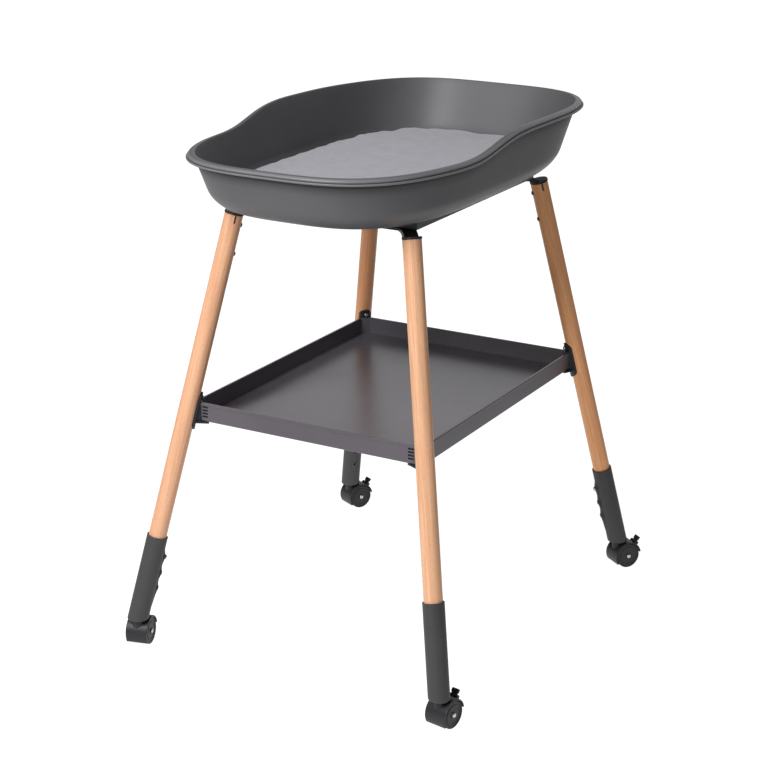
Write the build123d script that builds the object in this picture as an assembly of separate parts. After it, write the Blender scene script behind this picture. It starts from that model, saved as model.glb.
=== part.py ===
from build123d import *
import math
import os

os.makedirs("parts", exist_ok=True)

# ---------------------------------------------------------------- dimensions
# All lengths in millimetres. X to the right of the foot end, Y to the head
# end, Z up from the floor.
SHIFT_X, SHIFT_Y = -5.57, -4.21          # puts the box centre on the Z axis

# legs
LEG_D = 33.0
LEG_TOP_X, LEG_TOP_Y, LEG_TOP_Z = 176.6, 250.2, 808.4
FOOT_X, FOOT_Y, FOOT_Z = 313.6, 389.8, 55.0      # leg axis at the sleeve's lower end
SLEEVE_TOP_Z = 217.3
LEG_IN_SLEEVE = 62.0
LEG_BORE_D, LEG_BORE_DEPTH = 18.4, 90.0
SLOT_W, SLOT_L = 3.2, 15.0
LEG_SCREW_AT = (17.5, 70.0)

# foot sleeves
SLEEVE_OD, SLEEVE_ID = 38.4, 33.8
SLEEVE_TRAVEL = 60.0
BOSS_D, BOSS_OUT, BOSS_HOLE_D = 10.4, 23.4, 5.2
BOSS_AT = (40.3, 71.8, 102.0)
# rib that carries the bosses: distance below the sleeve's top, height above the tube
RIB = ((22.0, -0.8), (31.0, 1.6), (40.3, 3.4), (56.0, 1.5), (71.8, 3.4), (86.8, 1.5), (102.0, 3.4), (115.0, 2.0), (133.0, 0.5), (145.0, -0.8))
RIB_W = 8.6

# leg sockets under the tub
COLLAR_D, COLLAR_H = 34.6, 4.5
PLUG_D, PLUG_L = 18.0, 86.0
NECK_W = 25.0
PLATE_X0, PLATE_X1, PLATE_Y0, PLATE_Y1, PLATE_T = 103.0, 165.0, 172.0, 232.0, 4.5    # base plate under the skirt's corner
PLATE_SCREWS = ((112.5, 181.5), (155.0, 181.5), (112.5, 216.0))
SCREW_BOSS_D, SCREW_DEPTH = 9.0, 11.0

# tub
TUB_Z, TUB_T = 834.3, 3.5
TUB_FIL_H, TUB_FIL_IN = 35.0, 30.0       # rounded lower edge: height and inset
RIM_REF_Z, RIM_TOP_Z = 932.8, 958.9
# S-curve of the rim: station along Y, height
RIM = ((-520.0, 932.6), (-430.0, 932.6), (-330.0, 932.5), (-235.0, 931.9), (-178.0, 931.5), (-130.0, 935.2), (-95.0, 942.1),
       (-60.0, 949.9), (-25.0, 955.6), (15.0, 958.6), (70.0, 958.6), (150.0, 957.1), (260.0, 953.4), (400.0, 949.9), (520.0, 948.2))
TUB_W, TUB_LF, TUB_LB, TUB_YC = 243.6, 398.9, 441.4, -21.5
TUB_PF, TUB_PB = 3.19, 3.58
TUB_SW, TUB_SF, TUB_SB = 0.212, 0.466, 0.531
LIP_OUT, LIP_DROP, LIP_T = 13.1, 8.9, 3.5
BASE_X, BASE_Y, BASE_Z, BASE_T = 175.0, 229.0, 819.0, 4.0    # skirt under the floor

# changing pad
PAD_T, PAD_GAP = 24.4, 5.3

# tray
TRAY_X, TRAY_Y = 232.3, 306.2        # half sizes over the walls
TRAY_Z, TRAY_H, TRAY_T = 433.5, 35.0, 3.0
HEM_H, HEM_OUT = 5.0, 1.4
TRAY_CORNER = 15.0                   # corner cut, measured along the walls
SLOT_X0, SLOT_X1, SLOT_Z0, SLOT_PITCH, SLOT_H, SLOT_DEEP = 17.0, 28.5, 9.5, 5.9, 3.2, 2.0
BRK_LEDGE, BRK_LEDGE_T = 30.0, 3.0
BRK_SHELL_T, EAR_W = 4.0, 25.0
EAR_UP, TAB_DOWN = 22.0, 13.0

# casters
WHEEL_D, WHEEL_X0, WHEEL_X1 = 50.0, 5.6, 19.6
TRAIL = 16.0
CASTER_ANGLES = {"front_left": 15.0, "front_right": -10.0, "back_right": -36.0, "back_left": -27.0}
HOOD_RI, HOOD_RO, HOOD_HALF = 25.9, 28.9, 20.7
WEB_HALF = 5.0
STEM_D, STEM_TOP = 8.0, 90.0
AXLE_D, CAP_D, CAP_H = 5.0, 8.6, 2.2
LEVER_R, LEVER_ANGLE, LEVER_TILT, LEVER_L = 32.3, 40.0, 52.0, 13.0

CORNERS = {"front_left": (-1, -1), "front_right": (1, -1),
           "back_right": (1, 1), "back_left": (-1, 1)}
BRAKED = ("front_right", "back_right", "back_left")

PARTS = {}


def put(name, shape):
    """Keep a piece, moved so that the table's box is centred on the Z axis."""
    PARTS[name] = Pos(SHIFT_X, SHIFT_Y, 0) * shape


def group(solids):
    """Identical fasteners as one node of separate solids."""
    return Compound([s.solid() for s in solids])


# ---------------------------------------------------------------- leg frames
_dx, _dy, _dz = FOOT_X - LEG_TOP_X, FOOT_Y - LEG_TOP_Y, FOOT_Z - LEG_TOP_Z
_len = math.sqrt(_dx * _dx + _dy * _dy + _dz * _dz)
COS_LEG = -_dz / _len


def leg_frame(sx, sy):
    """Plane at the top of a leg: Z up along the leg, X to the table's middle."""
    up = Vector(-sx * _dx / _len, -sy * _dy / _len, -_dz / _len)
    inner = Vector(-sx * _dx, -sy * _dy, 0).normalized()
    xd = (inner - up * inner.dot(up)).normalized()
    return Plane(origin=(sx * LEG_TOP_X, sy * LEG_TOP_Y, LEG_TOP_Z), x_dir=xd, z_dir=up)


def on_axis(z):
    """Distance along the leg, below its top, of a height above the floor."""
    return (LEG_TOP_Z - z) / COS_LEG


SLEEVE_TOP = on_axis(SLEEVE_TOP_Z)
LEG_L = SLEEVE_TOP + LEG_IN_SLEEVE
LR = LEG_D / 2


def rod(d, z0, z1):
    """Cylinder along Z between two heights."""
    return Pos(0, 0, z0) * Cylinder(d / 2, z1 - z0, align=(Align.CENTER, Align.CENTER, Align.MIN))


def rod_x(d, x0, x1, z=0, y=0):
    """Cylinder along X between two stations."""
    return Pos(x0, y, z) * Rot(0, 90, 0) * Cylinder(d / 2, x1 - x0, align=(Align.CENTER, Align.CENTER, Align.MIN))


def block(x0, x1, y0, y1, z0, z1):
    return Pos((x0 + x1) / 2, (y0 + y1) / 2, (z0 + z1) / 2) * Box(x1 - x0, y1 - y0, z1 - z0)


def cross_recess(x, z, d, depth):
    """Cross-shaped cutter sunk into a screw head that faces +X."""
    a = block(x - depth, x + 1, -d / 2, d / 2, z - d / 7, z + d / 7)
    b = block(x - depth, x + 1, -d / 7, d / 7, z - d / 2, z + d / 2)
    return a + b


def pan_screw(x_seat, x_tip, z, shank_d, head_d, head_h):
    """Pan-head screw along -X: the head sits outside x_seat, the tip at x_tip."""
    s = rod_x(shank_d, x_tip, x_seat, z) + rod_x(head_d, x_seat, x_seat + head_h, z)
    s = fillet(s.edges().filter_by(GeomType.CIRCLE).sort_by(Axis.X)[-1:], head_h * 0.6)
    return s - cross_recess(x_seat + head_h, z, head_d * 0.6, head_h * 0.55)


# ---------------------------------------------------------------- tub surface
def outline(z, off, n=32):
    """Rounded plan outline of the tub at a height, grown by off."""
    d = z - RIM_REF_Z
    w = TUB_W + TUB_SW * d + off
    pts = []
    for i in range(n):
        a = 2 * math.pi * i / n
        c, s = math.cos(a), math.sin(a)
        if s < 0:
            ln, p = TUB_LF + TUB_SF * d + off, TUB_PF
        else:
            ln, p = TUB_LB + TUB_SB * d + off, TUB_PB
        r = (abs(c / w) ** p + abs(s / ln) ** p) ** (-1 / p)
        pts.append((r * c, TUB_YC + r * s))
    return pts


def ring(z, off):
    """Closed planar face with the tub's outline at a height, grown by off."""
    e = Spline(*[Vector(x, y, z) for x, y in outline(z, off)], periodic=True)
    return Face(Wire([e]))


def vessel(off, z_floor, h, inset, z_top):
    """Solid bowl: flat floor, rounded lower edge that runs into the flared wall."""
    sections = []
    for k in range(7):
        a = math.pi / 2 * k / 6
        sections.append(ring(z_floor + h * (1 - math.cos(a)), off - inset * (1 - math.sin(a))))
    return loft(sections) + wall_prism(off, z_floor + h, z_top)


def wall_prism(off, z0, z1):
    """Flared wall block between two heights."""
    return loft([ring(z0, off), ring(z1, off)], ruled=True)


def under_rim(drop, low):
    """Block below the rim's S-curve, lowered by drop."""
    top = Spline(*[Vector(0, y, z - drop) for y, z in RIM])
    a, b = Vector(0, RIM[-1][0], low), Vector(0, RIM[0][0], low)
    edge = Wire([top, Line(top @ 1, a), Line(a, b), Line(b, top @ 0)])
    return Pos(-350, 0, 0) * extrude(Face(edge), 700, dir=(1, 0, 0))


def make_skirt():
    """Rectangular wall under the floor, with screw bosses inside its corners."""
    s = block(-BASE_X, BASE_X, -BASE_Y, BASE_Y, BASE_Z, TUB_Z + 1)
    s = s - block(-BASE_X + BASE_T, BASE_X - BASE_T, -BASE_Y + BASE_T, BASE_Y - BASE_T, BASE_Z - 1, TUB_Z + 2)
    s = fillet(s.edges().filter_by(Axis.Z), 1.2)
    for sx, sy in CORNERS.values():
        for u, v in PLATE_SCREWS:
            s = s + Pos(sx * u, sy * v, 0) * rod(SCREW_BOSS_D, BASE_Z, TUB_Z + 1)
    return s


def make_tub():
    z_hi = RIM_TOP_Z + 25
    body = vessel(0, TUB_Z, TUB_FIL_H, TUB_FIL_IN, z_hi)
    cavity = vessel(-TUB_T, TUB_Z + TUB_T, TUB_FIL_H - TUB_T, TUB_FIL_IN - TUB_T, z_hi + 5)
    below = under_rim(0, TUB_Z - 50)
    lip = wall_prism(LIP_OUT, RIM_REF_Z - 40, z_hi) & below
    lip = lip - under_rim(LIP_DROP, TUB_Z - 60)
    core = wall_prism(LIP_OUT - LIP_T, RIM_REF_Z - 60, z_hi + 5) & under_rim(LIP_T, TUB_Z - 60)
    lip = lip - core
    return (body & below) + lip - cavity + make_skirt()


def make_pad():
    z0 = TUB_Z + TUB_T + 0.4
    hh, ii = TUB_FIL_H - TUB_T, TUB_FIL_IN - TUB_T

    def sec(h, extra):
        a = math.acos(1 - min((h + 0.4) / hh, 1.0))
        return ring(z0 + h, -TUB_T - ii * (1 - math.sin(a)) - PAD_GAP - extra)
    return loft([sec(0.0, 2.0), sec(5.0, 0.0), sec(12.0, 0.0), sec(19.0, 0.4), sec(PAD_T, 5.0)])


# ---------------------------------------------------------------- legs
def make_leg():
    leg = rod(LEG_D, -LEG_L, 0)
    leg = chamfer(leg.edges().filter_by(GeomType.CIRCLE), 0.8)
    leg = leg - rod(LEG_BORE_D, -LEG_BORE_DEPTH, 1)
    leg = leg - block(-SLOT_W / 2, SLOT_W / 2, -LR - 1, LR + 1, -SLOT_L + SLOT_W / 2, 1)
    leg = leg - Pos(0, 0, -SLOT_L + SLOT_W / 2) * Rot(90, 0, 0) * Cylinder(SLOT_W / 2, LEG_D + 2)
    for d in LEG_SCREW_AT:
        leg = leg - rod_x(4.2, 0, LR + 1, -d) - rod_x(8.4, LR - 0.4, LR + 4, -d)
    leg = leg - rod_x(8.0, 4.0, LR + 1, -(SLEEVE_TOP + BOSS_AT[0]))
    return leg


def make_insert():
    z = -(SLEEVE_TOP + BOSS_AT[0])
    return rod_x(8.0, 4.0, LR - 0.6, z) - rod_x(4.8, 5.5, LR + 1, z)


def make_leg_screws():
    return [pan_screw(LR - 0.4, 2.0, -d, 4.0, 8.0, 2.6) for d in LEG_SCREW_AT]


def plan_frame(sx, sy, z, z_axis):
    """Horizontal plane at z with its origin on the leg's axis at z_axis and X to the table's middle."""
    k = (z_axis - LEG_TOP_Z) / -_dz
    o = (sx * (LEG_TOP_X - _dx * k), sy * (LEG_TOP_Y - _dy * k), z)
    inner = Vector(-sx * _dx, -sy * _dy, 0).normalized()
    return Plane(origin=o, x_dir=inner, z_dir=(0, 0, 1))


def make_socket(sx, sy):
    fr = leg_frame(sx, sy)
    collar = rod(COLLAR_D, 0.0, COLLAR_H)
    collar = fillet(collar.edges().filter_by(GeomType.CIRCLE), 0.8)
    plug = rod(PLUG_D, -PLUG_L, 1.0)
    key = block(-SLOT_W / 2 + 0.2, SLOT_W / 2 - 0.2, -LR + 0.5, LR - 0.5, -SLOT_L + 1.2, 1.0)
    low = collar + plug + key
    for d in LEG_SCREW_AT:
        low = low - rod_x(4.0, 2.0, LR, -d)
    # neck that leans inwards from the collar to the plate under the skirt's corner
    zp = BASE_Z - PLATE_T
    pf = plan_frame(sx, sy, 0.0, LEG_TOP_Z)
    side = Plane(origin=pf.origin, x_dir=pf.x_dir, z_dir=pf.x_dir.cross(Vector(0, 0, 1)))
    zl = LEG_TOP_Z
    prof = Polygon((1.0, zl + 2.0), (14.5, zl - 1.6), (23.0, zp - 1.5), (42.0, zp - 0.4), (42.0, BASE_Z), (14.0, BASE_Z), (6.0, zp - 0.2), align=None)
    neck = side * (Pos(0, 0, -NECK_W / 2) * extrude(prof, NECK_W))
    plate = RectangleRounded(PLATE_X1 - PLATE_X0, PLATE_Y1 - PLATE_Y0, 4)
    plate = Pos(sx * (PLATE_X0 + PLATE_X1) / 2, sy * (PLATE_Y0 + PLATE_Y1) / 2, zp) * extrude(plate, PLATE_T)
    s = fr * low + neck + plate
    for u, v in PLATE_SCREWS:
        s = s - Pos(sx * u, sy * v, zp) * Cylinder(2.2, 30)
    return s


def make_socket_screws(sx, sy):
    out = []
    for u, v in PLATE_SCREWS:
        s = Pos(0, 0, -2.4) * Cylinder(4.0, 2.4, align=(Align.CENTER, Align.CENTER, Align.MIN))
        s = fillet(s.edges().filter_by(GeomType.CIRCLE).sort_by(Axis.Z)[:1], 1.4)
        s = s + Cylinder(2.0, PLATE_T + SCREW_DEPTH, align=(Align.CENTER, Align.CENTER, Align.MIN))
        c = Pos(0, 0, -2.4) * (Box(4.6, 1.3, 2.4) + Box(1.3, 4.6, 2.4))
        out.append(Pos(sx * u, sy * v, BASE_Z - PLATE_T) * (s - c))
    return out


def socket_screw_holes():
    """Blind pilot holes in the tub's screw bosses."""
    out = []
    for sx, sy in CORNERS.values():
        for u, v in PLATE_SCREWS:
            out.append(Pos(sx * u, sy * v, 0) * rod(4.0, BASE_Z - 1, BASE_Z + SCREW_DEPTH + 1.0))
    return out


# ---------------------------------------------------------------- foot sleeves
def make_rib(top):
    """Scalloped rib on the sleeve's inner side."""
    crest = Spline(*[Vector(SLEEVE_OD / 2 + h, 0, top - d) for d, h in RIB])
    a, b = Vector(14, 0, top - RIB[-1][0]), Vector(14, 0, top - RIB[0][0])
    face = Face(Wire([crest, Line(crest @ 1, a), Line(a, b), Line(b, crest @ 0)]))
    rib = Pos(0, -RIB_W / 2, 0) * extrude(face, RIB_W, dir=(0, 1, 0))
    return fillet(rib.edges().filter_by(GeomType.BSPLINE), 1.4)


def make_sleeve(sx, sy):
    fr = leg_frame(sx, sy)
    top = -SLEEVE_TOP
    bottom = -on_axis(FOOT_Z)
    tube = rod(SLEEVE_OD, bottom - 30, top)
    tube = fillet(tube.edges().filter_by(GeomType.CIRCLE).sort_by(Axis.Z)[-1:], 1.0)
    tube = tube + make_rib(top)
    for d in BOSS_AT:
        boss = rod_x(BOSS_D, 10.0, BOSS_OUT, top - d)
        boss = fillet(boss.edges().filter_by(GeomType.CIRCLE).sort_by(Axis.X)[-1:], 1.2)
        tube = tube + boss
    world = fr * tube
    foot = (sx * FOOT_X, sy * FOOT_Y)
    world = world - block(foot[0] - 60, foot[0] + 60, foot[1] - 60, foot[1] + 60, FOOT_Z - 60, FOOT_Z)
    low = [e for e in world.edges() if abs(e.center().Z - FOOT_Z) < 0.05 and e.bounding_box().size.Z < 0.05]
    world = fillet(low, 3.0)
    bore = rod(SLEEVE_ID, top - LEG_IN_SLEEVE - SLEEVE_TRAVEL - 1.5, top + 1)
    mouth = Pos(0, 0, top - 1.2) * Cone(SLEEVE_ID / 2, SLEEVE_ID / 2 + 1.3, 1.3, align=(Align.CENTER, Align.CENTER, Align.MIN))
    world = world - fr * bore - fr * mouth
    for d in BOSS_AT:
        world = world - fr * rod_x(BOSS_HOLE_D, 5.0, 30.0, top - d)
    world = world - Pos(foot[0], foot[1], 0) * rod(STEM_D + 0.1, FOOT_Z - 1, STEM_TOP + 1.0)
    return world


def make_sleeve_screw():
    return pan_screw(BOSS_OUT, SLEEVE_ID / 2 + 0.15, -SLEEVE_TOP - BOSS_AT[0], 4.8, 8.4, 2.4)


# ---------------------------------------------------------------- tray
def leg_at(sx, sy, z):
    k = (LEG_TOP_Z - z) / -_dz
    return sx * (LEG_TOP_X + _dx * k), sy * (LEG_TOP_Y + _dy * k)


def corner_prism(sx, sy, pts, z0, z1):
    """Prism from plan points (p, q) measured inwards from a tray corner."""
    w = [(sx * (TRAY_X - p), sy * (TRAY_Y - q)) for p, q in pts]
    return Pos(0, 0, z0) * extrude(make_face(Polyline(*w, close=True)), z1 - z0, dir=(0, 0, 1))


def tray_prism(d, z0, z1):
    """Tray plan with cut corners, grown by d, between two heights."""
    hx, hy, c = TRAY_X + d, TRAY_Y + d, TRAY_CORNER + d * (2 - math.sqrt(2))
    pts = [(hx - c, -hy), (hx, -hy + c), (hx, hy - c), (hx - c, hy), (-hx + c, hy), (-hx, hy - c), (-hx, -hy + c), (-hx + c, -hy)]
    return Pos(0, 0, z0) * extrude(make_face(Polyline(*pts, close=True)), z1 - z0, dir=(0, 0, 1))


def make_tray():
    z0, z1 = TRAY_Z, TRAY_Z + TRAY_H
    outer = tray_prism(0, z0, z1)
    outer = fillet(outer.edges().filter_by(Plane.XY).sort_by(Axis.Z)[:8], 2.5)
    hem = tray_prism(HEM_OUT, z1 - HEM_H, z1)
    hem = fillet(hem.edges().filter_by(Plane.XY), 1.2)
    tray = outer + hem - tray_prism(-TRAY_T, z0 + TRAY_T, z1 + 1)
    # four sunk slots at each end of the front wall
    for sx in (-1, 1):
        for k in range(4):
            zc = z0 + SLOT_Z0 + SLOT_PITCH * k
            tray = tray - corner_prism(sx, -1, [(SLOT_X0, -3), (SLOT_X1, -3), (SLOT_X1, SLOT_DEEP), (SLOT_X0, SLOT_DEEP)], zc - SLOT_H / 2, zc + SLOT_H / 2)
    return tray


def make_bracket(sx, sy):
    z0, z1 = TRAY_Z, TRAY_Z + TRAY_H
    c = TRAY_CORNER
    core = corner_prism(sx, sy, [(c, 0), (0, c), (-14, c - 14), (c - 14, -14)], z0 - BRK_LEDGE_T, z1)
    ledge = corner_prism(sx, sy, [(BRK_LEDGE, 1), (1, BRK_LEDGE), (-9, 8), (8, -9)], z0 - BRK_LEDGE_T, z0)
    fr = leg_frame(sx, sy)
    zm = -on_axis(z0)
    zu = -on_axis(z1)
    r0, r1 = LR, LR + BRK_SHELL_T
    shell = rod(2 * r1, zm - TAB_DOWN, zu + EAR_UP)
    win = Plane.YZ * (Pos(0, (zm - TAB_DOWN + zu + EAR_UP) / 2) * RectangleRounded(EAR_W, zu + EAR_UP - zm + TAB_DOWN, EAR_W / 2 - 0.5))
    shell = shell & extrude(win, 40)
    # the ear's screw boss
    boss = rod_x(10.0, 10.0, r1 + 0.8, zu + EAR_UP - 10)
    s = core + ledge + fr * (shell + boss)
    s = s - fr * rod(LEG_D + 0.02, -LEG_L, 0)
    s = s - fr * rod_x(4.6, 5.0, 40.0, zu + EAR_UP - 10)
    return s - tray_prism(0, z0, z1) - tray_prism(HEM_OUT, z1 - HEM_H, z1)


def make_bracket_screw():
    zu = -on_axis(TRAY_Z + TRAY_H)
    return pan_screw(LR + BRK_SHELL_T + 0.8, 6.0, zu + EAR_UP - 10, 4.4, 8.0, 2.4)


def bracket_pilot():
    zu = -on_axis(TRAY_Z + TRAY_H)
    return rod_x(4.4, 6.0, LR + 2, zu + EAR_UP - 10)


# ---------------------------------------------------------------- casters
def caster_frame(name):
    sx, sy = CORNERS[name]
    return Pos(sx * FOOT_X, sy * FOOT_Y, 0) * Rot(0, 0, CASTER_ANGLES[name])


def pie(r, a0, a1, x0, x1):
    """Sector about the axle between two angles (from the trailing side, over the top)."""
    c = (TRAIL, WHEEL_D / 2)
    n = 24
    pts = [c] + [(c[0] + r * math.cos(math.radians(a0 + (a1 - a0) * i / n)), c[1] + r * math.sin(math.radians(a0 + (a1 - a0) * i / n))) for i in range(n + 1)]
    f = make_face(Polyline(*[Vector(0, y, z) for y, z in pts], close=True))
    return Pos(x0, 0, 0) * extrude(f, x1 - x0, dir=(1, 0, 0))


def make_hood(braked):
    cz = WHEEL_D / 2
    shell = rod_x(2 * HOOD_RO, -HOOD_HALF, HOOD_HALF, cz, TRAIL)
    shell = fillet(shell.edges().filter_by(GeomType.CIRCLE), 1.0)
    shell = shell - rod_x(2 * HOOD_RI, -HOOD_HALF - 1, HOOD_HALF + 1, cz, TRAIL)
    shell = shell & pie(60, 12, 212, -30, 30)
    web = rod_x(2 * HOOD_RI + 1, -WEB_HALF, WEB_HALF, cz, TRAIL) & pie(60, 60, 212, -30, 30)
    hub = rod_x(15.0, -WEB_HALF, WEB_HALF, cz, TRAIL)
    collar = rod(20.0, 40.0, 53.6)
    collar = fillet(collar.edges().filter_by(GeomType.CIRCLE).sort_by(Axis.Z)[-1:], 0.8)
    collar = collar - rod_x(2 * HOOD_RI, -HOOD_HALF - 1, HOOD_HALF + 1, cz, TRAIL)
    h = shell + web + hub + collar
    if braked:
        ly = TRAIL + LEVER_R * math.cos(math.radians(LEVER_ANGLE))
        lz = cz + LEVER_R * math.sin(math.radians(LEVER_ANGLE))
        for x0 in (-10.2, 7.6):
            lug = rod_x(6.6, x0, x0 + 2.6, lz, ly)
            ky = TRAIL + (HOOD_RO - 0.8) * math.cos(math.radians(LEVER_ANGLE))
            kz = cz + (HOOD_RO - 0.8) * math.sin(math.radians(LEVER_ANGLE))
            lug = lug + Pos(x0 + 1.3, (ly + ky) / 2, (lz + kz) / 2) * Rot(LEVER_ANGLE, 0, 0) * Box(2.6, 5.0, 6.6)
            h = h + lug
        h = h - rod_x(3.1, -12, 12, lz, ly)
        h = h - (rod_x(7.6, -7.5, 7.5, lz, ly))
    h = h - rod_x(AXLE_D, -30, 30, cz, TRAIL)
    h = h - rod(STEM_D, 32.0, 80.0)
    return h


def make_stem():
    s = rod(STEM_D, 32.0, STEM_TOP)
    s = chamfer(s.edges().filter_by(GeomType.CIRCLE).sort_by(Axis.Z)[-1:], 1.0)
    return s


def make_axle():
    x0 = WHEEL_X1 + 0.4
    a = rod_x(AXLE_D, -x0, x0, WHEEL_D / 2, TRAIL)
    for side in (-1, 1):
        cap = rod_x(CAP_D, x0, x0 + CAP_H, WHEEL_D / 2, TRAIL)
        cap = fillet(cap.edges().filter_by(GeomType.CIRCLE).sort_by(Axis.X)[-1:], 1.8)
        a = a + (cap if side > 0 else mirror(cap, Plane.YZ))
    return a


def make_wheel(side):
    cz = WHEEL_D / 2
    w = rod_x(WHEEL_D, WHEEL_X0, WHEEL_X1, cz, TRAIL)
    w = fillet(w.edges().filter_by(GeomType.CIRCLE), 1.6)
    # stepped outer face: tread ring, shallow dish, raised hub
    w = w - (rod_x(43.0, WHEEL_X1 - 0.9, WHEEL_X1 + 1, cz, TRAIL) - rod_x(37.0, WHEEL_X1 - 2, WHEEL_X1 + 2, cz, TRAIL))
    w = w - (rod_x(33.0, WHEEL_X1 - 0.6, WHEEL_X1 + 1, cz, TRAIL) - rod_x(12.0, WHEEL_X1 - 2, WHEEL_X1 + 2, cz, TRAIL))
    w = w - rod_x(AXLE_D + 0.1, 0, 30, cz, TRAIL)
    if side < 0:
        w = mirror(w, Plane.YZ)
    return w


def lever_point():
    return (TRAIL + LEVER_R * math.cos(math.radians(LEVER_ANGLE)), WHEEL_D / 2 + LEVER_R * math.sin(math.radians(LEVER_ANGLE)))


def make_lever():
    ly, lz = lever_point()
    hub = rod_x(6.4, -7.2, 7.2, lz, ly)
    pin = rod_x(3.0, -10.2, 10.2, lz, ly)
    arm = Box(12.0, 8.0, 3.0, align=(Align.CENTER, Align.MIN, Align.CENTER))
    tab = Pos(0, 5.5, 0.4) * Box(14.4, LEVER_L - 5.5, 3.8, align=(Align.CENTER, Align.MIN, Align.CENTER))
    tab = fillet(tab.edges().filter_by(Axis.Z), 1.2)
    blade = Pos(0, ly, lz) * Rot(LEVER_TILT, 0, 0) * (arm + tab)
    return hub + pin + blade


# ---------------------------------------------------------------- assembly
tub = make_tub()
for h in socket_screw_holes():
    tub = tub - h
put("tub_shell", tub)
put("changing_pad", make_pad())

leg0, insert0 = make_leg(), make_insert()
leg0 = leg0 - bracket_pilot()
leg_screws, inserts, socket_screws, bracket_screws = [], [], [], []
for name, (sx, sy) in CORNERS.items():
    fr = leg_frame(sx, sy)
    put("leg_" + name, fr * leg0)
    put("leg_socket_" + name, make_socket(sx, sy))
    put("foot_sleeve_" + name, make_sleeve(sx, sy))
    put("sleeve_screw_" + name, fr * make_sleeve_screw())
    put("tray_bracket_" + name, make_bracket(sx, sy))
    inserts.append(fr * insert0)
    leg_screws += [fr * s for s in make_leg_screws()]
    socket_screws += make_socket_screws(sx, sy)
    bracket_screws.append(fr * make_bracket_screw())
    cf = caster_frame(name)
    put("caster_hood_" + name, cf * make_hood(name in BRAKED))
    put("caster_stem_" + name, cf * make_stem())
    put("caster_axle_" + name, cf * make_axle())
    put("caster_wheel_outer_" + name, cf * make_wheel(1))
    put("caster_wheel_inner_" + name, cf * make_wheel(-1))
    if name in BRAKED:
        put("brake_lever_" + name, cf * make_lever())
put("tray", make_tray())
put("leg_inserts", group(inserts))
put("leg_screws", group(leg_screws))
put("socket_screws", group(socket_screws))
put("tray_bracket_screws", group(bracket_screws))

for name, shape in PARTS.items():
    export_step(shape, os.path.join("parts", name + ".step"))
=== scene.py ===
import math

import bmesh
import bpy
import numpy as np
from mathutils import Matrix, Vector


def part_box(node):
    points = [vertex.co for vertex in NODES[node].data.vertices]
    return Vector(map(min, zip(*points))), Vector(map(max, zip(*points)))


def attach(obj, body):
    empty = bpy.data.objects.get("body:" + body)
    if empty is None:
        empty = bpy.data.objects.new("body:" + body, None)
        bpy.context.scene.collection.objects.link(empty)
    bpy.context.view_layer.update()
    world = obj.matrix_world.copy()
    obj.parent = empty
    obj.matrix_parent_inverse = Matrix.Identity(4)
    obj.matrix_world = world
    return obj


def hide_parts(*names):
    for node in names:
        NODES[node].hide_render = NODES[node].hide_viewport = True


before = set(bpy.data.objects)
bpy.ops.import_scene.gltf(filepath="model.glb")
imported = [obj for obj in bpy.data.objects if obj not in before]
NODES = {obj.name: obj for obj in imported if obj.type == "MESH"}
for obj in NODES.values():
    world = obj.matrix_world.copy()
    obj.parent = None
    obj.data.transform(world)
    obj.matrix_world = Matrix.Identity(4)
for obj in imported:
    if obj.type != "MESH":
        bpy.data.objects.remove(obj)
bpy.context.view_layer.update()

CORNERS = {"front_left": (-1, -1), "front_right": (1, -1), "back_right": (1, 1), "back_left": (-1, 1)}
scene = bpy.context.scene
scene.view_settings.view_transform = "Standard"

# ---------------------------------------------------------------- dimensions, as in the CAD (mm)
SHIFT = (-5.57, -4.21)
LEG_TOP = (176.6, 250.2, 808.4)
FOOT = (313.6, 389.8, 55.0)
TUB_Z, TUB_T = 834.3, 3.5
TUB_FIL_H, TUB_FIL_IN = 35.0, 30.0
RIM_REF_Z, RIM_TOP_Z = 932.8, 958.9
RIM = ((-520.0, 932.6), (-430.0, 932.6), (-330.0, 932.5), (-235.0, 931.9), (-178.0, 931.5), (-130.0, 935.2), (-95.0, 942.1),
       (-60.0, 949.9), (-25.0, 955.6), (15.0, 958.6), (70.0, 958.6), (150.0, 957.1), (260.0, 953.4), (400.0, 949.9), (520.0, 948.2))
TUB_W, TUB_LF, TUB_LB, TUB_YC = 243.6, 398.9, 441.4, -21.5
TUB_PF, TUB_PB = 3.19, 3.58
TUB_SW, TUB_SF, TUB_SB = 0.212, 0.466, 0.531
LIP_OUT, LIP_DROP, LIP_T = 13.1, 8.9, 3.5
BASE_X, BASE_Y, BASE_Z, BASE_T = 175.0, 229.0, 819.0, 4.0
SCREW_BOSSES, SCREW_BOSS_D = ((112.5, 181.5), (155.0, 181.5), (112.5, 216.0)), 9.0
TRAY_X, TRAY_Y, TRAY_Z = 232.3, 306.2, 433.5
SLOT_X0, SLOT_X1, SLOT_Z0, SLOT_PITCH, SLOT_H = 17.0, 28.5, 9.5, 5.9, 3.2


# ---------------------------------------------------------------- camera
def make_camera():
    az, el, roll = math.radians(29.14), math.radians(18.76), math.radians(0.351)
    back = Vector((math.sin(az) * math.cos(el), -math.cos(az) * math.cos(el), math.sin(el)))
    x0 = Vector((math.cos(az), math.sin(az), 0.0))
    y0 = back.cross(x0)
    x = x0 * math.cos(roll) + y0 * math.sin(roll)
    y = y0 * math.cos(roll) - x0 * math.sin(roll)
    data = bpy.data.cameras.new("camera")
    data.sensor_fit = "HORIZONTAL"
    data.sensor_width = 36.0
    data.lens = 1914.5 * 36.0 / 765.0
    data.clip_start, data.clip_end = 0.05, 200.0
    cam = bpy.data.objects.new("camera", data)
    scene.collection.objects.link(cam)
    turn = Matrix((x, y, back)).transposed().to_4x4()
    cam.matrix_world = Matrix.Translation(((1638.21 + SHIFT[0]) / 1000, (-2969.54 + SHIFT[1]) / 1000, 1.6055)) @ turn
    scene.camera = cam


make_camera()


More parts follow.
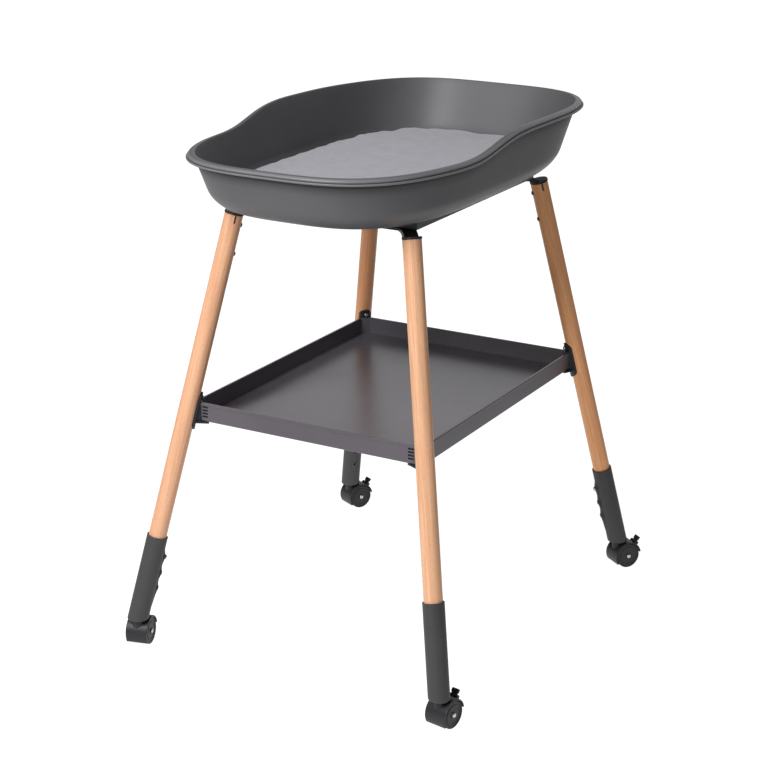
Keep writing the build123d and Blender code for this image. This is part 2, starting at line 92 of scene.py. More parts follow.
# ---------------------------------------------------------------- material helper
class Paint:
    """A procedural material on one Principled shader, in object coordinates (metres)."""

    def __init__(self, name, **sockets):
        self.mat = bpy.data.materials.new(name)
        self.mat.use_nodes = True
        self.tree = self.mat.node_tree
        self.tree.nodes.clear()
        self.shader = self.tree.nodes.new("ShaderNodeBsdfPrincipled")
        out = self.tree.nodes.new("ShaderNodeOutputMaterial")
        self.tree.links.new(self.shader.outputs["BSDF"], out.inputs["Surface"])
        self.pos = self.tree.nodes.new("ShaderNodeTexCoord").outputs["Object"]
        for key, value in sockets.items():
            self.shader.inputs[key.replace("_", " ")].default_value = value

    def wire(self, value, socket):
        if isinstance(value, bpy.types.NodeSocket):
            self.tree.links.new(value, socket)
        else:
            socket.default_value = value

    def calc(self, op, a, b=0.0, c=None, clamp=False):
        n = self.tree.nodes.new("ShaderNodeMath")
        n.operation = op
        n.use_clamp = clamp
        self.wire(a, n.inputs[0])
        self.wire(b, n.inputs[1])
        if c is not None:
            self.wire(c, n.inputs[2])
        return n.outputs[0]

    def vec(self, op, a, b=(0, 0, 0)):
        n = self.tree.nodes.new("ShaderNodeVectorMath")
        n.operation = op
        self.wire(a, n.inputs[0])
        self.wire(b, n.inputs[1])
        return n.outputs["Value"] if op in ("DOT_PRODUCT", "LENGTH", "DISTANCE") else n.outputs["Vector"]

    def join(self, x, y, z):
        n = self.tree.nodes.new("ShaderNodeCombineXYZ")
        for v, s in zip((x, y, z), n.inputs):
            self.wire(v, s)
        return n.outputs[0]

    def split(self, v):
        n = self.tree.nodes.new("ShaderNodeSeparateXYZ")
        self.wire(v, n.inputs[0])
        return n.outputs

    def noise(self, scale, vector=None, detail=2.0, rough=0.5, distort=0.0):
        n = self.tree.nodes.new("ShaderNodeTexNoise")
        self.wire(vector or self.pos, n.inputs["Vector"])
        n.inputs["Scale"].default_value = scale
        n.inputs["Detail"].default_value = detail
        n.inputs["Roughness"].default_value = rough
        n.inputs["Distortion"].default_value = distort
        return n.outputs["Fac"]

    def cells(self, scale, vector=None, feature="F1", out="Distance", random=1.0):
        n = self.tree.nodes.new("ShaderNodeTexVoronoi")
        n.feature = feature
        self.wire(vector or self.pos, n.inputs["Vector"])
        n.inputs["Scale"].default_value = scale
        n.inputs["Randomness"].default_value = random
        return n.outputs[out]

    def fit(self, value, a, b, c, d, smooth=False):
        n = self.tree.nodes.new("ShaderNodeMapRange")
        n.interpolation_type = "SMOOTHSTEP" if smooth else "LINEAR"
        for v, s in zip((value, a, b, c, d), n.inputs):
            self.wire(v, s)
        return n.outputs[0]

    def ramp(self, value, stops):
        n = self.tree.nodes.new("ShaderNodeValToRGB")
        el = n.color_ramp.elements
        while len(el) < len(stops):
            el.new(0.5)
        for e, (p, c) in zip(el, stops):
            e.position = p
            e.color = (*c, 1.0)
        self.wire(value, n.inputs[0])
        return n.outputs[0]

    def mix(self, fac, a, b, mode="MIX"):
        n = self.tree.nodes.new("ShaderNodeMix")
        n.data_type = "RGBA"
        n.blend_type = mode
        self.wire(fac, n.inputs[0])
        for v, s in ((a, n.inputs[6]), (b, n.inputs[7])):
            self.wire(v if isinstance(v, bpy.types.NodeSocket) else (*v, 1.0), s)
        return n.outputs[2]

    def soft_edges(self, radius):
        """Normals that round off the edges, as a moulded or coated edge does."""
        n = self.tree.nodes.new("ShaderNodeBevel")
        n.samples = 4
        n.inputs["Radius"].default_value = radius
        return n.outputs[0]

    def edge_mask(self, normal, lo, hi):
        """1 along the edges, from how far the rounded normal leaves the true one."""
        g = self.tree.nodes.new("ShaderNodeNewGeometry").outputs["Normal"]
        return self.fit(self.vec("DOT_PRODUCT", normal, g), hi, lo, 0.0, 1.0, True)

    def bump(self, height, strength, distance, normal=None):
        n = self.tree.nodes.new("ShaderNodeBump")
        n.inputs["Strength"].default_value = strength
        n.inputs["Distance"].default_value = distance
        self.wire(height, n.inputs["Height"])
        if normal is not None:
            self.wire(normal, n.inputs["Normal"])
        return n.outputs[0]

    def done(self, color=None, rough=None, normal=None):
        if color is not None:
            self.wire(color, self.shader.inputs["Base Color"])
        if rough is not None:
            self.wire(rough, self.shader.inputs["Roughness"])
        if normal is not None:
            self.wire(normal, self.shader.inputs["Normal"])
        return self.mat


def moulded(name, dark, light, rough=(0.42, 0.56), grain=0.0011, relief=0.35, edge=0.0006, wear=0.35, wear_color=None, crevice_shade_reach=0.0, **sockets):
    """Spark-eroded moulded plastic: fine pebble grain, slow tone drift, polished edges, faint scuffs; with a crevice
    reach, also painted shade in crevices and under the rim's lip, and a painted highlight on the rim.
    """
    p = Paint(name, **sockets)
    fine = p.noise(1.0 / grain, detail=3.0, rough=0.6)
    pebble = p.cells(0.8 / grain)
    slow = p.noise(9.0, detail=3.0)
    speck = p.noise(2600.0, detail=1.0)
    tone = p.calc("MULTIPLY_ADD", slow, 0.62, p.calc("MULTIPLY", fine, 0.38))
    tone = p.calc("MULTIPLY_ADD", speck, 0.16, tone)
    color = p.mix(p.fit(tone, 0.34, 0.80, 0.0, 1.0), dark, light)
    # scuffs: thin, sparse, stretched along two directions
    s1 = p.noise(1.0, p.vec("MULTIPLY", p.pos, (900.0, 60.0, 340.0)), detail=2.0)
    s2 = p.noise(1.0, p.vec("MULTIPLY", p.pos, (50.0, 800.0, 420.0)), detail=2.0)
    scuff = p.fit(p.calc("MAXIMUM", s1, s2), 0.72, 0.80, 0.0, 1.0)
    scuff = p.calc("MULTIPLY", scuff, p.fit(p.noise(22.0), 0.50, 0.66, 0.0, 1.0))
    r = p.fit(p.calc("MULTIPLY_ADD", fine, 0.7, p.calc("MULTIPLY", slow, 0.3)), 0.3, 0.7, rough[0], rough[1])
    r = p.calc("MULTIPLY_ADD", scuff, 0.07, r)
    normal = None
    if edge:
        normal = p.soft_edges(edge)
        worn = p.calc("MULTIPLY", p.edge_mask(normal, 0.86, 0.995), p.fit(p.noise(120.0, detail=3.0), 0.35, 0.65, 0.25, 1.0))
        color = p.mix(p.calc("MULTIPLY", worn, wear), color, wear_color or tuple(min(1.0, 1.5 * c + 0.012) for c in light))
        r = p.calc("MULTIPLY_ADD", worn, -0.10, r)
    if crevice_shade_reach:
        # painted shade: the colour is darkened towards near-black in crevices, from ambient occlusion, and close under
        # the rim's lip, from the rim's vertex attribute
        ao = p.tree.nodes.new("ShaderNodeAmbientOcclusion")
        ao.samples = 8
        ao.inputs["Distance"].default_value = crevice_shade_reach
        shade = p.tree.nodes.new("ShaderNodeAttribute")
        shade.attribute_name = "rim_painted_shade_highlight"
        deep = p.calc("MAXIMUM", p.fit(ao.outputs["AO"], 0.20, 0.74, 0.70, 0.0, True), p.calc("MULTIPLY", shade.outputs["Fac"], 0.86))
        color = p.mix(deep, color, tuple(0.16 * c for c in dark))
        r = p.calc("MULTIPLY_ADD", deep, 0.30, r)
        # painted highlight: where the rim's vertex attribute is negative (bead and shoulder of the rim) the colour is
        # lightened to 1.6 times the light tone
        color = p.mix(p.fit(shade.outputs["Fac"], -1.0, 0.0, 1.0, 0.0), color, tuple(1.6 * c for c in light))
    height = p.calc("MULTIPLY_ADD", pebble, 0.6, fine)
    normal = p.bump(height, relief, grain * 0.12, normal)
    return p.done(color, r, normal)


def beech(name, sx, sy, tint):
    """Turned beech dowel: long growth bands, fine fibres, short dark ray flecks, satin lacquer."""
    p = Paint(name, Specular_IOR_Level=0.24, Coat_Weight=0.05, Coat_Roughness=0.30)
    top = Vector((sx * LEG_TOP[0] + SHIFT[0], sy * LEG_TOP[1] + SHIFT[1], LEG_TOP[2])) / 1000
    foot = Vector((sx * FOOT[0] + SHIFT[0], sy * FOOT[1] + SHIFT[1], FOOT[2])) / 1000
    w = (top - foot).normalized()
    u = w.cross(Vector((sx, 0.35 * sy, 0.1))).normalized()
    v = w.cross(u)
    rel = p.vec("SUBTRACT", p.pos, tuple(top))
    a, b, c = (p.vec("DOT_PRODUCT", rel, tuple(k)) for k in (u, v, w))
    seed = 0.37 * sx + 0.81 * sy + 2.0
    a, b = p.calc("ADD", a, 0.0), p.calc("ADD", b, 0.0)
    c = p.calc("ADD", c, seed)
    grain = p.join(a, b, c)
    # growth bands around a heart that lies outside the dowel and wanders slowly
    wander = p.noise(1.0, p.vec("MULTIPLY", grain, (22.0, 22.0, 2.6)), detail=2.0)
    ha = p.calc("ADD", p.calc("MULTIPLY_ADD", c, 0.016, a), 0.034)
    hb = p.calc("ADD", p.calc("MULTIPLY_ADD", c, -0.009, b), 0.012)
    dist = p.calc("SQRT", p.calc("ADD", p.calc("MULTIPLY", ha, ha), p.calc("MULTIPLY", hb, hb)))
    dist = p.calc("MULTIPLY_ADD", wander, 0.007, dist)
    band = p.calc("SINE", p.calc("MULTIPLY", dist, 2 * math.pi / 0.0031))
    band2 = p.calc("SINE", p.calc("MULTIPLY", dist, 2 * math.pi / 0.0113))
    # fibres and flecks along the length
    fibre = p.noise(1.0, p.vec("MULTIPLY", grain, (2300.0, 2300.0, 42.0)), detail=3.0, rough=0.6)
    streak = p.noise(1.0, p.vec("MULTIPLY", grain, (520.0, 520.0, 9.0)), detail=3.0)
    fleck = p.noise(1.0, p.vec("MULTIPLY", grain, (1500.0, 1500.0, 230.0)), detail=1.0)
    fleck = p.fit(fleck, 0.64, 0.71, 0.0, 1.0)
    ray = p.noise(1.0, p.vec("MULTIPLY", grain, (900.0, 300.0, 150.0)), detail=1.0)
    ray = p.fit(ray, 0.66, 0.74, 0.0, 1.0)
    tone = p.calc("MULTIPLY_ADD", band, 0.045, p.calc("MULTIPLY", fibre, 0.42))
    tone = p.calc("MULTIPLY_ADD", band2, 0.035, tone)
    tone = p.calc("MULTIPLY_ADD", streak, 0.58, tone)
    color = p.ramp(p.fit(tone, 0.26, 0.74, 0.0, 1.0),
                   [(0.0, (0.540, 0.284, 0.148)), (0.35, (0.640, 0.358, 0.200)),
                    (0.65, (0.715, 0.422, 0.246)), (1.0, (0.780, 0.488, 0.300))])
    # per-leg colour factor, which on the back legs is a painted shade
    color = p.mix(1.0, color, tint, "MULTIPLY")
    color = p.mix(p.calc("MULTIPLY", fleck, 0.42), color, (0.330, 0.140, 0.056))
    color = p.mix(p.calc("MULTIPLY", ray, 0.22), color, (0.850, 0.560, 0.340))
    r = p.fit(p.calc("MULTIPLY_ADD", streak, 0.5, p.calc("MULTIPLY", fibre, 0.5)), 0.3, 0.7, 0.36, 0.52)
    height = p.calc("MULTIPLY_ADD", fleck, -0.7, fibre)
    return p.done(color, r, p.bump(height, 0.22, 0.00012))


def fabric(name):
    """Plain-weave heather cloth: over-and-under threads, two yarn greys, loose fibres."""
    p = Paint(name, Sheen_Weight=0.28, Sheen_Roughness=0.45, Specular_IOR_Level=0.18)
    p.shader.inputs["Sheen Tint"].default_value = (0.86, 0.86, 0.90, 1.0)
    x, y, z = p.split(p.pos)
    drift = p.noise(60.0, detail=2.0)
    pitch = 0.00125
    k = math.pi / pitch
    xa = p.calc("MULTIPLY_ADD", drift, 0.0009, x)
    ya = p.calc("MULTIPLY_ADD", drift, -0.0009, p.calc("MULTIPLY_ADD", z, 0.7, y))
    sx_, sy_ = p.calc("SINE", p.calc("MULTIPLY", xa, k)), p.calc("SINE", p.calc("MULTIPLY", ya, k))
    cx, cy = p.calc("ABSOLUTE", sx_), p.calc("ABSOLUTE", sy_)
    over = p.calc("MULTIPLY_ADD", p.calc("MULTIPLY", sx_, sy_), 0.5, 0.5)
    weave = p.calc("ADD", p.calc("MULTIPLY", cx, over), p.calc("MULTIPLY", cy, p.calc("SUBTRACT", 1.0, over)))
    warp = p.noise(1.0, p.vec("MULTIPLY", p.pos, (1300.0, 110.0, 400.0)), detail=2.0)
    weft = p.noise(1.0, p.vec("MULTIPLY", p.pos, (110.0, 1300.0, 400.0)), detail=2.0)
    fuzz = p.noise(3200.0, detail=2.0)
    patch = p.noise(48.0, detail=4.0, rough=0.62)
    heather = p.calc("MULTIPLY_ADD", warp, 0.5, p.calc("MULTIPLY", weft, 0.5))
    tone = p.calc("MULTIPLY_ADD", fuzz, 0.52, p.calc("MULTIPLY", heather, 0.42))
    tone = p.calc("MULTIPLY_ADD", patch, 0.20, tone)
    color = p.ramp(p.fit(tone, 0.40, 0.80, 0.0, 1.0),
                   [(0.0, (0.220, 0.217, 0.236)), (0.45, (0.310, 0.304, 0.330)), (1.0, (0.410, 0.402, 0.432))])
    color = p.mix(p.fit(weave, 0.0, 0.75, 0.34, 0.0), color, (0.130, 0.128, 0.142))
    height = p.calc("MULTIPLY_ADD", fuzz, 0.35, weave)
    return p.done(color, p.fit(fuzz, 0.3, 0.7, 0.82, 0.98), p.bump(height, 0.45, 0.00035))


def coated(name):
    """Powder-coated sheet: satin film with a faint orange peel, dust and fine handling marks."""
    p = Paint(name, Specular_IOR_Level=0.37)
    peel = p.noise(420.0, detail=2.0)
    fine = p.noise(2200.0, detail=2.0)
    slow = p.noise(6.0, detail=3.0)
    tone = p.calc("MULTIPLY_ADD", slow, 0.6, p.calc("MULTIPLY", fine, 0.4))
    color = p.mix(p.fit(tone, 0.32, 0.68, 0.0, 1.0), (0.080, 0.073, 0.084), (0.100, 0.091, 0.105))
    r = p.fit(p.calc("MULTIPLY_ADD", fine, 0.6, p.calc("MULTIPLY", p.noise(5.0, detail=2.0), 0.4)), 0.3, 0.7, 0.25, 0.31)
    normal = p.soft_edges(0.0008)
    worn = p.calc("MULTIPLY", p.edge_mask(normal, 0.86, 0.995), p.fit(p.noise(90.0, detail=3.0), 0.35, 0.65, 0.2, 1.0))
    color = p.mix(p.calc("MULTIPLY", worn, 0.30), color, (0.20, 0.195, 0.21))
    # painted shade in the sunk slots near the front corners: their bottoms are painted near-black, as the shadow
    # inside a through slot
    x, y, z = p.split(p.pos)
    out = p.calc("SUBTRACT", TRAY_X / 1000, p.calc("ABSOLUTE", p.calc("SUBTRACT", x, SHIFT[0] / 1000)))
    deep = p.calc("ADD", y, (TRAY_Y - SHIFT[1]) / 1000)
    slot_painted_shade = p.calc("MULTIPLY", p.fit(deep, 0.0003, 0.0005, 0.0, 1.0), p.fit(deep, 0.0024, 0.0026, 1.0, 0.0))
    low, high = TRAY_Z + SLOT_Z0 - SLOT_H, TRAY_Z + SLOT_Z0 + 3 * SLOT_PITCH + SLOT_H
    for v, a, b in ((out, SLOT_X0 - 0.5, SLOT_X1 + 0.5), (z, low, high)):
        slot_painted_shade = p.calc("MULTIPLY", slot_painted_shade, p.calc("MULTIPLY", p.calc("GREATER_THAN", v, a / 1000), p.calc("LESS_THAN", v, b / 1000)))
    color = p.mix(slot_painted_shade, color, (0.006, 0.006, 0.0065))
    r = p.calc("MULTIPLY_ADD", slot_painted_shade, 0.4, r)
    height = p.calc("MULTIPLY_ADD", fine, 0.25, peel)
    return p.done(color, r, p.bump(height, 0.10, 0.0002, normal))


def metal(name, color, dark, rough=(0.24, 0.42), grain=(2600.0, 2600.0, 300.0)):
    """Plated metal: fine drawn lines, stained hollows."""
    p = Paint(name, Metallic=1.0)
    line = p.noise(1.0, p.vec("MULTIPLY", p.pos, grain), detail=3.0)
    stain = p.noise(420.0, detail=4.0, rough=0.6)
    c = p.mix(p.fit(p.calc("MULTIPLY_ADD", stain, 0.7, p.calc("MULTIPLY", line, 0.3)), 0.36, 0.66, 0.0, 1.0), dark, color)
    r = p.fit(line, 0.3, 0.7, rough[0], rough[1])
    return p.done(c, r, p.bump(line, 0.15, 0.00006, p.soft_edges(0.0002)))


TUB = moulded("tub_plastic", (0.069, 0.0685, 0.0735), (0.089, 0.0885, 0.0945), rough=(0.43, 0.51), grain=0.0010, relief=0.22,
              edge=0.0, crevice_shade_reach=0.026, Specular_IOR_Level=0.43)
BLACK = moulded("black_plastic", (0.012, 0.012, 0.0135), (0.024, 0.024, 0.026), rough=(0.34, 0.48), grain=0.0008, relief=0.25, edge=0.0006, Specular_IOR_Level=0.26)
SLEEVE = moulded("sleeve_plastic", (0.037, 0.037, 0.037), (0.052, 0.052, 0.052), rough=(0.50, 0.62), grain=0.0009, relief=0.32, edge=0.0007, Specular_IOR_Level=0.26)
WHEEL = moulded("wheel_plastic", (0.016, 0.016, 0.0165), (0.030, 0.030, 0.031), rough=(0.40, 0.56), grain=0.0007, relief=0.25, edge=0.0005, Specular_IOR_Level=0.26)
TRAY = coated("tray_coat")
PAD = fabric("pad_fabric")
STEEL = metal("axle_steel", (0.66, 0.66, 0.67), (0.34, 0.34, 0.35))
BRIGHT = metal("bright_screw", (0.72, 0.72, 0.73), (0.36, 0.36, 0.37))
DARK = metal("dark_screw", (0.075, 0.073, 0.072), (0.028, 0.027, 0.027), rough=(0.30, 0.46))
BRASS = metal("insert_brass", (0.72, 0.52, 0.22), (0.42, 0.28, 0.10))


# colour factors per leg: the wood tone of the front legs, and on the back legs a painted shade that makes them darker
# and redder
LEG_TONE_AND_SHADE = {"front_left": (0.95, 0.90, 0.92), "front_right": (0.93, 0.90, 0.91), "back_right": (1.04, 0.86, 0.68), "back_left": (0.82, 0.66, 0.54)}


def wear(node, material):
    mesh = NODES[node].data
    mesh.materials.clear()
    mesh.materials.append(material)


for corner, (sx, sy) in CORNERS.items():
    wear("leg_" + corner, beech("beech_" + corner, sx, sy, LEG_TONE_AND_SHADE[corner]))
    for piece, material in (("leg_socket", BLACK), ("tray_bracket", BLACK), ("foot_sleeve", SLEEVE), ("sleeve_screw", BRIGHT),
                            ("caster_hood", BLACK), ("caster_stem", STEEL), ("caster_axle", STEEL),
                            ("caster_wheel_outer", WHEEL), ("caster_wheel_inner", WHEEL)):
        wear(piece + "_" + corner, material)
    if "brake_lever_" + corner in NODES:
        wear("brake_lever_" + corner, BLACK)
wear("tray", TRAY)
wear("leg_inserts", BRASS)
wear("leg_screws", DARK)
wear("socket_screws", DARK)
wear("tray_bracket_screws", BRIGHT)


# ---------------------------------------------------------------- tub shell
def plan(z, off, angle):
    """Point of the tub's plan outline at a height, grown by off (mm)."""
    d = z - RIM_REF_Z
    c, s = math.cos(angle), math.sin(angle)
    w = TUB_W + TUB_SW * d + off
    if s < 0:
        ln, p = TUB_LF + TUB_SF * d + off, TUB_PF
    else:
        ln, p = TUB_LB + TUB_SB * d + off, TUB_PB
    r = (abs(c / w) ** p + abs(s / ln) ** p) ** (-1 / p)
    return r * c, TUB_YC + r * s


def natural_spline(points):
    """Second derivatives of the natural cubic through the points."""
    x, f = np.array([q[0] for q in points]), np.array([q[1] for q in points])
    n = len(x)
    h = np.diff(x)
    a, b = np.eye(n), np.zeros(n)
    for i in range(1, n - 1):
        a[i, i - 1:i + 2] = h[i - 1], 2 * (h[i - 1] + h[i]), h[i]
        b[i] = 6 * ((f[i + 1] - f[i]) / h[i] - (f[i] - f[i - 1]) / h[i - 1])
    return x, f, np.linalg.solve(a, b)


RIM_CURVE = natural_spline(RIM)


def rim_z(y):
    x, f, m = RIM_CURVE
    i = int(np.clip(np.searchsorted(x, y) - 1, 0, len(x) - 2))
    h = x[i + 1] - x[i]
    p, q = (x[i + 1] - y) / h, (y - x[i]) / h
    return float(p * f[i] + q * f[i + 1] + ((p ** 3 - p) * m[i] + (q ** 3 - q) * m[i + 1]) * h * h / 6)


def under_lip(drop):
    """Strength of the painted shadow under the lip: 1 close under the lip, fading out down the wall."""
    if drop < 6.0:
        return 1.0
    return max(0.0, 0.62 * (1.0 - (drop - 7.2) / 15.0)) if drop > 7.2 else 1.0 - 0.38 * (drop - 6.0) / 1.2


# how strongly a painted highlight lightens the bead and the shoulder of the rim, by point of the profile
RIM_HIGHLIGHT = {43: 0.5, 44: 0.9, 45: 1.0, 46: 1.0, 47: 1.0, 48: 1.0, 49: 1.0, 50: 0.8, 51: 0.4,
           56: 0.5, 57: 0.8, 58: 0.9, 59: 0.9, 60: 0.8, 61: 0.7, 62: 0.5, 63: 0.3, 64: 0.15}


def tub_profile(top, crown):
    """(height, offset) from under the floor, over the rim, to inside the floor."""
    pts = []
    zr = TUB_Z + TUB_FIL_H
    for k in range(15):
        a = math.pi / 2 * k / 14
        pts.append((TUB_Z + TUB_FIL_H * (1 - math.cos(a)), -TUB_FIL_IN * (1 - math.sin(a))))
    under = top - LIP_T
    wall = under - 2.0 - zr
    for f in (0.125, 0.25, 0.375, 0.5, 0.625):
        pts.append((zr + (wall - 21.0) * f / 0.625, 0.0))
    for d in (18.0, 15.0, 12.0, 9.0, 6.5, 4.8, 3.6, 2.4, 1.2, 0.0):
        pts.append((under - 2.0 - d, 0.0))
    for k in range(1, 5):                      # fillet under the lip
        a = math.pi / 2 * k / 4
        pts.append((under - 2.0 + 2.0 * math.sin(a), 2.0 * (1 - math.cos(a))))
    inner = LIP_OUT - LIP_T
    pts.append((under, (2.0 + inner - 1.2) / 2))
    for k in range(0, 4):                      # into the lip's hanging edge
        a = math.pi / 2 * k / 3
        pts.append((under - 1.2 * (1 - math.cos(a)), inner - 1.2 + 1.2 * math.sin(a)))
    low = top - LIP_DROP
    r = 2.1
    mid = (low + r, LIP_OUT - r)
    pts.append((low + r + 1.4, inner - 0.4))
    for k in range(0, 13):                     # bead along the hanging edge
        a = math.pi * (1.0 + 1.66 * k / 12)
        pts.append((mid[0] + r * math.sin(a), mid[1] + r * math.cos(a)))
    pts.append((top - 4.80, 9.35))             # groove above the bead
    pts.append((top - 4.45, 9.35))
    ri = 1.5
    start = 0.4 - TUB_T + ri
    for k in range(0, 13):                     # shoulder that falls away from the crown
        a = math.radians(82.0 - 82.0 * k / 12)
        pts.append((top + crown - (4.6 + crown) * (1 - math.cos(a)), start + (9.7 - start) * math.sin(a)))
    top += crown
    for k in range(0, 7):                      # rounded inner edge
        a = math.pi / 2 * k / 6
        pts.append((top - ri + ri * math.cos(a), -TUB_T + ri - ri * math.sin(a)))
    for k in range(1, 10):
        pts.append((top - ri + (zr - top + ri) * k / 10, -TUB_T))
    hh, ii = TUB_FIL_H - TUB_T, TUB_FIL_IN - TUB_T
    for k in range(14, -1, -1):
        a = math.pi / 2 * k / 14
        pts.append((TUB_Z + TUB_T + hh * (1 - math.cos(a)), -TUB_T - ii * (1 - math.sin(a))))
    return pts


def add_skirt(bm):
    """Rectangular wall under the floor with softened edges, and the screw bosses inside its corners."""
    def loop(hx, hy, z):
        return [bm.verts.new(((x + SHIFT[0]) / 1000, (y + SHIFT[1]) / 1000, z / 1000)) for x, y in ((-hx, -hy), (hx, -hy), (hx, hy), (-hx, hy))]

    rows = [loop(BASE_X - k * BASE_T, BASE_Y - k * BASE_T, z) for k, z in ((0, TUB_Z + 0.5), (0, BASE_Z), (1, BASE_Z), (1, TUB_Z + 0.5))]
    for a, b in zip(rows, rows[1:]):
        for i in range(4):
            j = (i + 1) % 4
            bm.faces.new((a[i], b[i], b[j], a[j]))
    soft = [bm.edges.get((r[i], r[(i + 1) % 4])) for r in rows[1:3] for i in range(4)]
    soft += [bm.edges.get((rows[0][i], rows[1][i])) for i in range(4)]
    bmesh.ops.bevel(bm, geom=soft, offset=0.0009, segments=3, profile=0.5, affect="EDGES")
    for sx, sy in CORNERS.values():
        for u, v in SCREW_BOSSES:
            c = ((sx * u + SHIFT[0]) / 1000, (sy * v + SHIFT[1]) / 1000, (BASE_Z + TUB_Z + 0.5) / 2000)
            bmesh.ops.create_cone(bm, cap_ends=True, segments=32, radius1=SCREW_BOSS_D / 2000, radius2=SCREW_BOSS_D / 2000,
                                  depth=(TUB_Z + 0.5 - BASE_Z) / 1000, matrix=Matrix.Translation(c))


def make_tub():
    n = 320
    rings = []
    for i in range(n):
        a = 2 * math.pi * i / n
        # even spacing along the outline: bias the angle towards the corners
        a = a - 0.10 * math.sin(4 * a)
        top = RIM_TOP_Z
        for _ in range(8):
            top = rim_z(plan(top, 0.0, a)[1])
        row = []
        for k, (z, off) in enumerate(tub_profile(top, 3.0)):
            x, y = plan(z, off, a)
            # painted shade below the lip (positive values) and painted highlight on the rim's bead and shoulder
            # (negative values), kept per vertex for the tub material
            shade = under_lip(top - LIP_DROP - z) if k < 35 else -RIM_HIGHLIGHT.get(k, 0.0)
            row.append((((x + SHIFT[0]) / 1000, (y + SHIFT[1]) / 1000, z / 1000), shade))
        rings.append(row)
    m = len(rings[0])
    bm = bmesh.new()
    layer = bm.verts.layers.float.new("rim_painted_shade_highlight")
    grid = []
    for row in rings:
        line = []
        for p, shade in row:
            v = bm.verts.new(p)
            v[layer] = shade
            line.append(v)
        grid.append(line)
    for i in range(n):
        j = (i + 1) % n
        for k in range(m - 1):
            bm.faces.new((grid[i][k], grid[j][k], grid[j][k + 1], grid[i][k + 1]))
    # floors, outside and inside, as shrinking rings
    for side, z in ((0, TUB_Z), (m - 1, TUB_Z + TUB_T)):
        prev = [grid[i][side] for i in range(n)]
        mid = Vector((SHIFT[0] / 1000, (TUB_YC + SHIFT[1]) / 1000, z / 1000))
        for f in (0.75, 0.5, 0.25):
            ring = [bm.verts.new(mid + (grid[i][side].co - mid) * f) for i in range(n)]
            for i in range(n):
                j = (i + 1) % n
                q = (prev[i], prev[j], ring[j], ring[i])
                bm.faces.new(q if side else q[::-1])
            prev = ring
        c = bm.verts.new(mid)
        for i in range(n):
            j = (i + 1) % n
            q = (prev[i], prev[j], c)
            bm.faces.new(q if side else q[::-1])
    for f in bm.faces:
        f.smooth = True
    add_skirt(bm)
    bmesh.ops.recalc_face_normals(bm, faces=bm.faces)
    mesh = bpy.data.meshes.new("tub_moulding")
    bm.to_mesh(mesh)
    bm.free()
    mesh.materials.append(TUB)
    obj = bpy.data.objects.new("tub_moulding", mesh)
    scene.collection.objects.link(obj)
    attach(obj, "table")
    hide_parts("tub_shell")
    return obj


make_tub()


# ---------------------------------------------------------------- changing pad
def evaluated(obj):
    bpy.context.view_layer.update()
    dg = bpy.context.evaluated_depsgraph_get()
    return bpy.data.meshes.new_from_object(obj.evaluated_get(dg))


def coords(mesh):
    co = np.empty(len(mesh.vertices) * 3, np.float32)
    mesh.vertices.foreach_get("co", co)
    return co.reshape(-1, 3).astype(float)


def set_coords(mesh, co):
    mesh.vertices.foreach_set("co", np.ascontiguousarray(co, np.float32).ravel())
    mesh.update()


def make_pad():
    """A thin foam mat in a sewn cover, from a cloth simulation of the CAD solid."""
    lo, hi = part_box("changing_pad")
    mesh = NODES["changing_pad"].data.copy()
    mesh.materials.clear()
    bm = bmesh.new()
    bm.from_mesh(mesh)
    bmesh.ops.remove_doubles(bm, verts=bm.verts, dist=1e-5)
    bm.to_mesh(mesh)
    bm.free()
    obj = bpy.data.objects.new("changing_pad_soft", mesh)
    scene.collection.objects.link(obj)
    # starts a little smaller and thinner: it swells
    co = coords(mesh)
    mid = np.array([(lo[0] + hi[0]) / 2, (lo[1] + hi[1]) / 2, lo[2]])
    co = mid + (co - mid) * np.array([0.992, 0.995, 0.96])
    set_coords(mesh, co)
    rm = obj.modifiers.new("remesh", "REMESH")
    rm.mode = "VOXEL"
    rm.voxel_size = 0.005
    fine = evaluated(obj)
    obj.modifiers.clear()
    obj.data = fine
    rest = coords(fine)
    z0 = rest[:, 2].min()
    pin = obj.vertex_groups.new(name="pin")
    low = [int(i) for i in np.nonzero(rest[:, 2] < z0 + 0.0035)[0]]
    pin.add(low, 1.0, "REPLACE")
    cl = obj.modifiers.new("cloth", "CLOTH")
    s = cl.settings
    s.quality = 5
    s.mass = 0.25
    s.tension_stiffness = s.compression_stiffness = 12.0
    s.shear_stiffness = 6.0
    s.bending_stiffness = 0.6
    s.use_pressure = True
    s.uniform_pressure_force = 4.0
    s.effector_weights.gravity = 0.0
    s.vertex_group_mass = "pin"
    cl.collision_settings.use_collision = False
    cl.collision_settings.use_self_collision = False
    cl.point_cache.frame_start, cl.point_cache.frame_end = 1, 20
    for f in range(1, 21):
        scene.frame_set(f)
    blown = evaluated(obj)
    move = coords(blown) - rest
    obj.modifiers.clear()
    obj.vertex_groups.clear()
    scene.frame_set(1)
    size = np.linalg.norm(move, axis=1)
    cap = 0.004
    move *= (cap * np.tanh(size / cap) / np.maximum(size, 1e-9))[:, None]
    co = rest + move
    # the sewn edge is a little uneven
    rim = np.arctan2(co[:, 1] - mid[1], co[:, 0] - mid[0])
    near = np.clip((rest[:, 2] - z0) / 0.020, 0.0, 1.0) * (np.linalg.norm((co - mid)[:, :2] / np.array([hi[0] - lo[0], hi[1] - lo[1]]), axis=1) * 2.0) ** 8
    co[:, 2] += 0.0010 * near * (np.sin(23.0 * rim + 0.4) + 0.7 * np.sin(41.0 * rim + 1.9) + 0.5 * np.sin(67.0 * rim + 4.1)) / 1.6
    co[:, 2] = np.maximum(co[:, 2], z0)
    set_coords(obj.data, co)
    sub = obj.modifiers.new("smooth", "SUBSURF")
    sub.levels = sub.render_levels = 1
    final = evaluated(obj)
    obj.modifiers.clear()
    obj.data = final
    final.polygons.foreach_set("use_smooth", [True] * len(final.polygons))
    final.materials.clear()
    final.materials.append(PAD)
    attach(obj, "pad")
    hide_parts("changing_pad")
    return obj


make_pad()


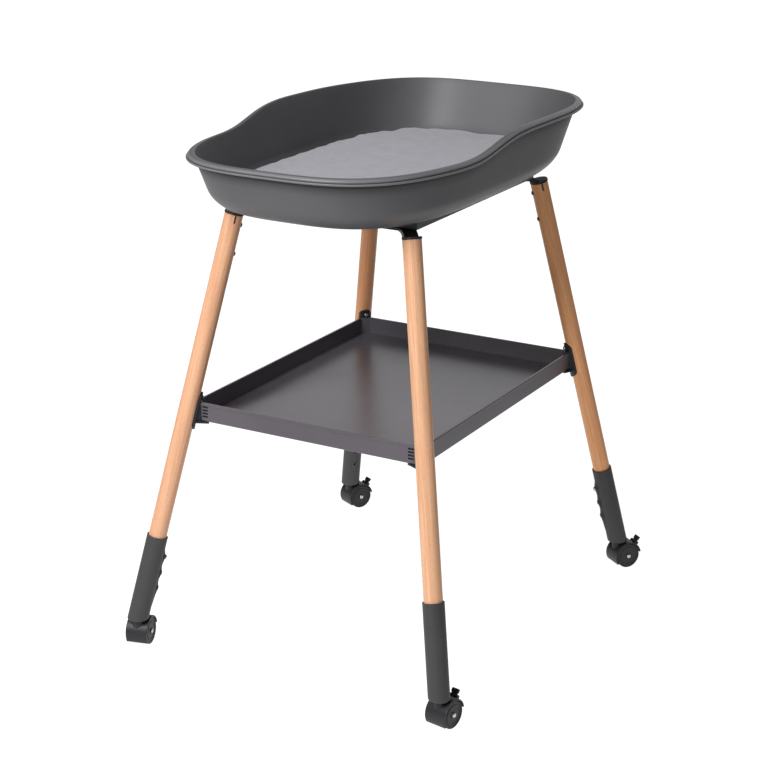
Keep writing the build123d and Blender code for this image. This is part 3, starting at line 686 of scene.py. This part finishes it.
# ---------------------------------------------------------------- floor and light
def make_floor():
    """Pale sweep that glows to white away from the table."""
    p = Paint("pale_floor", Roughness=0.8, Specular_IOR_Level=0.1)
    p.shader.inputs["Emission Color"].default_value = (1.0, 1.0, 1.0, 1.0)
    # bright sweep under and behind the table, pale grey beside and in front of it
    place = p.vec("SUBTRACT", p.pos, (1.633, -2.974, 0.0))
    right = p.vec("DOT_PRODUCT", place, (-0.952, -0.306, 0.0))
    left = p.vec("DOT_PRODUCT", place, (0.761, 0.648, 0.0))
    near = p.calc("SUBTRACT", p.vec("DOT_PRODUCT", place, (-0.487, 0.873, 0.0)), 2.77)
    glow = [p.fit(d, -0.65, -0.10, g, GLOW[3], True) for d, g in zip((right, left, near), GLOW)]
    p.wire(p.calc("MINIMUM", p.calc("MINIMUM", glow[0], glow[1]), glow[2]), p.shader.inputs["Emission Strength"])
    n = p.noise(3.0, detail=3.0)
    mat = p.done(p.mix(n, (0.16, 0.16, 0.16), (0.19, 0.19, 0.19)))
    bm = bmesh.new()
    bmesh.ops.create_grid(bm, x_segments=4, y_segments=4, size=40.0)
    mesh = bpy.data.meshes.new("floor")
    bm.to_mesh(mesh)
    bm.free()
    mesh.materials.append(mat)
    floor = bpy.data.objects.new("floor", mesh)
    floor.location.z = -0.0002
    scene.collection.objects.link(floor)


def softbox(name, place, aim, size, power, color=(1, 1, 1)):
    data = bpy.data.lights.new(name, "AREA")
    data.shape = "RECTANGLE"
    data.size, data.size_y = size
    data.energy = power
    data.color = color
    lamp = bpy.data.objects.new(name, data)
    scene.collection.objects.link(lamp)
    back = (Vector(place) - Vector(aim)).normalized()
    lamp.matrix_world = Matrix.Translation(place) @ back.to_track_quat("Z", "Y").to_matrix().to_4x4()


GLOW = (0.24, 0.48, 0.46, 1.00)        # right, left, near, middle
make_floor()
softbox("key", (-0.45, -3.4, 3.1), (0.0, 0.0, 0.7), (1.2, 2.4), 208.0, (1.0, 0.99, 1.0))
softbox("front", (0.0, -2.1, 0.95), (0.0, 0.0, 0.45), (1.3, 1.0), 2.5)
softbox("side", (3.2, -1.6, 1.5), (0.0, 0.0, 0.8), (1.4, 1.2), 7.0)
softbox("top", (-0.3, -0.3, 4.2), (0.0, 0.0, 0.5), (1.8, 1.8), 34.0)
softbox("back", (-0.6, 5.0, 2.3), (0.0, 0.0, 0.9), (7.0, 3.0), 58.0)
world = bpy.data.worlds.new("studio")
world.use_nodes = True
world.node_tree.nodes["Background"].inputs["Color"].default_value = (1.0, 1.0, 1.0, 1.0)
world.node_tree.nodes["Background"].inputs["Strength"].default_value = 0.10
scene.world = world
